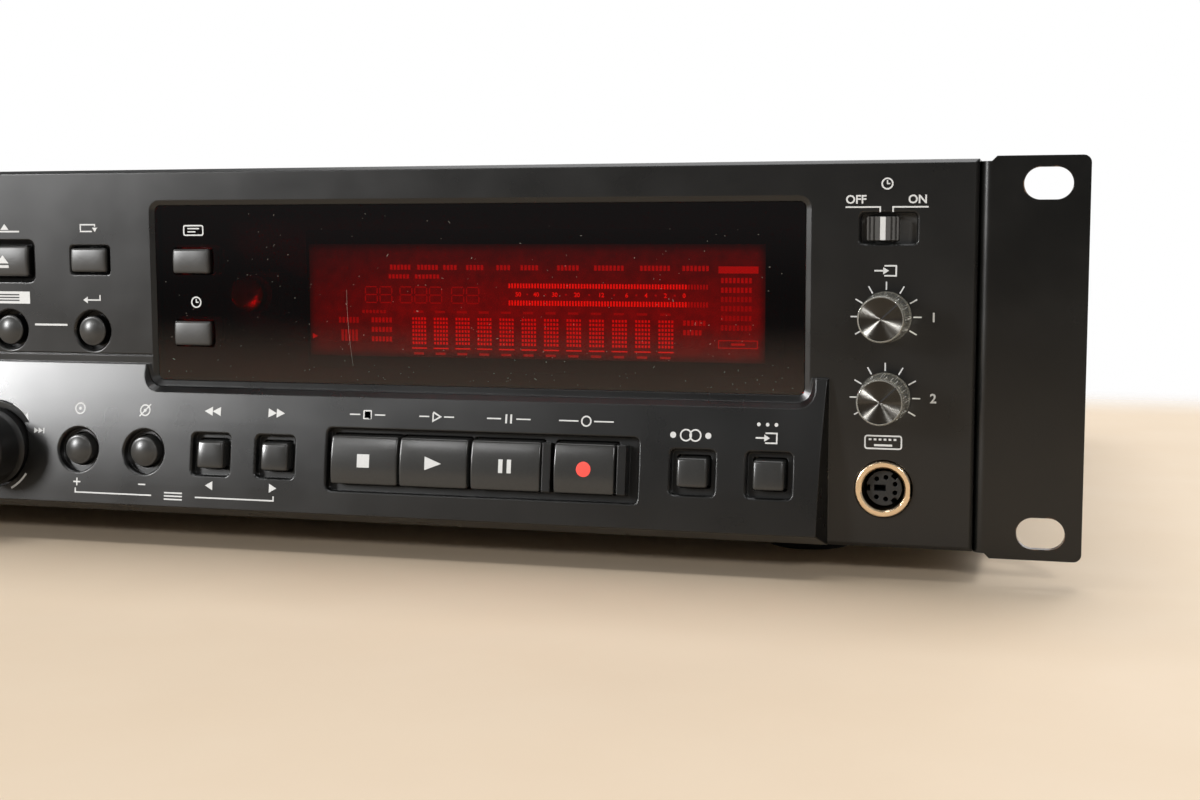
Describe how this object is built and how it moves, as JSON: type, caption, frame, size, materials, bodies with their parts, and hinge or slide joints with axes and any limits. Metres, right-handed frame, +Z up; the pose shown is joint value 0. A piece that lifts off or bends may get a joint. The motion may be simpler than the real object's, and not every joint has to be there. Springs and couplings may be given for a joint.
{
  "type": "rack-mount disc recorder",
  "caption": "Rack-mount disc recorder with a motor disc tray, smoked display window, sloped key strip, jog dial, level knobs and slotted rack ears.",
  "frame": {"origin": "on the table under the middle of the whole box", "axes": "+Z up, -Y towards the front panel's viewer, +X to the viewer's right"},
  "size_m": [0.4826, 0.309, 0.094],
  "materials": {
    "case_paint": "satin black paint",
    "zinc_steel": "zinc plated sheet",
    "panel_plastic": "moulded, fine satin black",
    "window_acrylic": "polished smoked acrylic",
    "ear_paint": "semi-gloss black paint over bent sheet",
    "screw_steel": "black oxide",
    "foot_rubber": "matte black",
    "board_laminate": "green laminate",
    "part_plastic": "moulded component cases",
    "display_glass": "vacuum display glass",
    "sensor_filter": "dark red filter",
    "nickel_plate": "bright nickel",
    "socket_plastic": "black moulding",
    "jack_metal": "gold plated shells",
    "ribbon_film": "white film",
    "loader_plastic": "moulded black",
    "gear_plastic": "natural acetal",
    "key_plastic": "satin black",
    "dial_plastic": "soft satin black",
    "knob_metal": "spun dark anodised face"
  },
  "bodies": {
    "case": {"top_cover": "case_paint", "rear_panel": "case_paint", "chassis_base": "zinc_steel", "clamp_bridge": "zinc_steel", "front_panel": "panel_plastic", "display_window": "window_acrylic", "rack_ear_left": "ear_paint", "rack_ear_right": "ear_paint", "case_screws": "screw_steel", "feet": "foot_rubber", "front_board": "board_laminate", "main_board": "board_laminate", "supply_board": "board_laminate", "tact_switches": "part_plastic", "level_pots": "part_plastic", "jog_encoder": "part_plastic", "timer_switch": "part_plastic", "power_switch": "part_plastic", "board_parts": "part_plastic", "display_tube": "display_glass", "remote_sensor": "sensor_filter", "keyboard_socket": "nickel_plate", "phones_nut": "nickel_plate", "loading_motor": "nickel_plate", "phones_jack": "socket_plastic", "mains_inlet": "socket_plastic", "rear_jacks": "jack_metal", "ribbon_cables": "ribbon_film", "loader_frame": "loader_plastic"},
    "tray": {"disc_tray": "loader_plastic", "tray_door": "panel_plastic"},
    "pinion": {"tray_pinion": "gear_plastic"},
    "traverse": {"traverse_frame": "loader_plastic", "sled_rods": "nickel_plate", "spindle_motor": "nickel_plate"},
    "body_turntable": {"turntable": "gear_plastic"},
    "sled": {"pickup_sled": "loader_plastic"},
    "body_clamper": {"clamper": "gear_plastic"},
    "jog": {"jog_dial": "dial_plastic"},
    "timer": {"timer_slider": "key_plastic"},
    "power": {"power_button": "key_plastic"},
    "body_open_close_key": {"open_close_key": "key_plastic"},
    "body_repeat_key": {"repeat_key": "key_plastic"},
    "body_menu_button": {"menu_button": "key_plastic"},
    "body_escape_button": {"escape_button": "key_plastic"},
    "body_display_key": {"display_key": "key_plastic"},
    "body_time_key": {"time_key": "key_plastic"},
    "body_finalize_button": {"finalize_button": "key_plastic"},
    "body_erase_button": {"erase_button": "key_plastic"},
    "body_search_back_key": {"search_back_key": "key_plastic"},
    "body_search_forward_key": {"search_forward_key": "key_plastic"},
    "body_stop_key": {"stop_key": "key_plastic"},
    "body_play_key": {"play_key": "key_plastic"},
    "body_pause_key": {"pause_key": "key_plastic"},
    "body_record_key": {"record_key": "key_plastic"},
    "body_sync_key": {"sync_key": "key_plastic"},
    "body_input_select_key": {"input_select_key": "key_plastic"},
    "body_input_knob_left": {"input_knob_left": "knob_metal"},
    "body_input_knob_right": {"input_knob_right": "knob_metal"},
    "body_phones_knob": {"phones_knob": "knob_metal"}
  },
  "joints": [
    {"name": "tray_slide", "type": "slide", "parent": "case", "child": "tray", "axis": [0, -1, 0], "range_m": [0, 0.15]},
    {"name": "pinion_turn", "type": "hinge", "parent": "case", "child": "pinion", "pos_m": [-0.07, -0.107, 0.05995], "axis": [0, 0, 1], "range_deg": [-956, 0]},
    {"name": "traverse_drop", "type": "hinge", "parent": "case", "child": "traverse", "pos_m": [-0.113, 0.053, 0.05595], "axis": [1, 0, 0], "range_deg": [0, 5]},
    {"name": "turntable_spin", "type": "hinge", "parent": "traverse", "child": "body_turntable", "pos_m": [-0.113, -0.047, 0.06495], "axis": [0, 0, 1], "continuous": true},
    {"name": "sled_slide", "type": "slide", "parent": "traverse", "child": "sled", "axis": [0, 1, 0], "range_m": [0, 0.036]},
    {"name": "clamper_spin", "type": "hinge", "parent": "case", "child": "body_clamper", "pos_m": [-0.113, -0.047, 0.07395], "axis": [0, 0, 1], "continuous": true},
    {"name": "jog_turn", "type": "hinge", "parent": "case", "child": "jog", "pos_m": [-0.028, -0.149, 0.02325], "axis": [0, -1, 0], "continuous": true},
    {"name": "timer_slide", "type": "slide", "parent": "case", "child": "timer", "axis": [1, 0, 0], "range_m": [0, 0.0024]},
    {"name": "power_press", "type": "slide", "parent": "case", "child": "power", "axis": [0, 1, 0], "range_m": [0, 0.003], "stiffness_N_per_m": 300},
    {"name": "input_left_turn", "type": "hinge", "parent": "case", "child": "body_input_knob_left", "pos_m": [0.1984, -0.144, 0.05895], "axis": [0, -1, 0], "range_deg": [-150, 150]},
    {"name": "input_right_turn", "type": "hinge", "parent": "case", "child": "body_input_knob_right", "pos_m": [0.1984, -0.144, 0.04095], "axis": [0, -1, 0], "range_deg": [-150, 150]},
    {"name": "phones_turn", "type": "hinge", "parent": "case", "child": "body_phones_knob", "pos_m": [-0.1984, -0.144, 0.04395], "axis": [0, -1, 0], "range_deg": [-150, 150]},
    {"name": "open_close_press", "type": "slide", "parent": "case", "child": "body_open_close_key", "axis": [0, 1, 0], "range_m": [0, 0.0006], "stiffness_N_per_m": 400},
    {"name": "repeat_press", "type": "slide", "parent": "case", "child": "body_repeat_key", "axis": [0, 1, 0], "range_m": [0, 0.0006], "stiffness_N_per_m": 400},
    {"name": "menu_press", "type": "slide", "parent": "case", "child": "body_menu_button", "axis": [0, 1, 0], "range_m": [0, 0.0006], "stiffness_N_per_m": 400},
    {"name": "escape_press", "type": "slide", "parent": "case", "child": "body_escape_button", "axis": [0, 1, 0], "range_m": [0, 0.0006], "stiffness_N_per_m": 400},
    {"name": "display_press", "type": "slide", "parent": "case", "child": "body_display_key", "axis": [0, 1, 0], "range_m": [0, 0.0006], "stiffness_N_per_m": 400},
    {"name": "time_press", "type": "slide", "parent": "case", "child": "body_time_key", "axis": [0, 1, 0], "range_m": [0, 0.0006], "stiffness_N_per_m": 400},
    {"name": "finalize_press", "type": "slide", "parent": "case", "child": "body_finalize_button", "axis": [0, 1, 0], "range_m": [0, 0.0006], "stiffness_N_per_m": 400},
    {"name": "erase_press", "type": "slide", "parent": "case", "child": "body_erase_button", "axis": [0, 1, 0], "range_m": [0, 0.0006], "stiffness_N_per_m": 400},
    {"name": "search_back_press", "type": "slide", "parent": "case", "child": "body_search_back_key", "axis": [0, 1, 0], "range_m": [0, 0.0006], "stiffness_N_per_m": 400},
    {"name": "search_forward_press", "type": "slide", "parent": "case", "child": "body_search_forward_key", "axis": [0, 1, 0], "range_m": [0, 0.0006], "stiffness_N_per_m": 400},
    {"name": "stop_press", "type": "slide", "parent": "case", "child": "body_stop_key", "axis": [0, 1, 0], "range_m": [0, 0.0006], "stiffness_N_per_m": 400},
    {"name": "play_press", "type": "slide", "parent": "case", "child": "body_play_key", "axis": [0, 1, 0], "range_m": [0, 0.0006], "stiffness_N_per_m": 400},
    {"name": "pause_press", "type": "slide", "parent": "case", "child": "body_pause_key", "axis": [0, 1, 0], "range_m": [0, 0.0006], "stiffness_N_per_m": 400},
    {"name": "record_press", "type": "slide", "parent": "case", "child": "body_record_key", "axis": [0, 1, 0], "range_m": [0, 0.0006], "stiffness_N_per_m": 400},
    {"name": "sync_press", "type": "slide", "parent": "case", "child": "body_sync_key", "axis": [0, 1, 0], "range_m": [0, 0.0006], "stiffness_N_per_m": 400},
    {"name": "input_select_press", "type": "slide", "parent": "case", "child": "body_input_select_key", "axis": [0, 1, 0], "range_m": [0, 0.0006], "stiffness_N_per_m": 400}
  ],
  "couplings": [
    {"joint": "pinion_turn", "follows": "tray_slide", "rad_per_m": -111.11},
    {"joint": "clamper_spin", "follows": "turntable_spin", "ratio": 1}
  ]
}
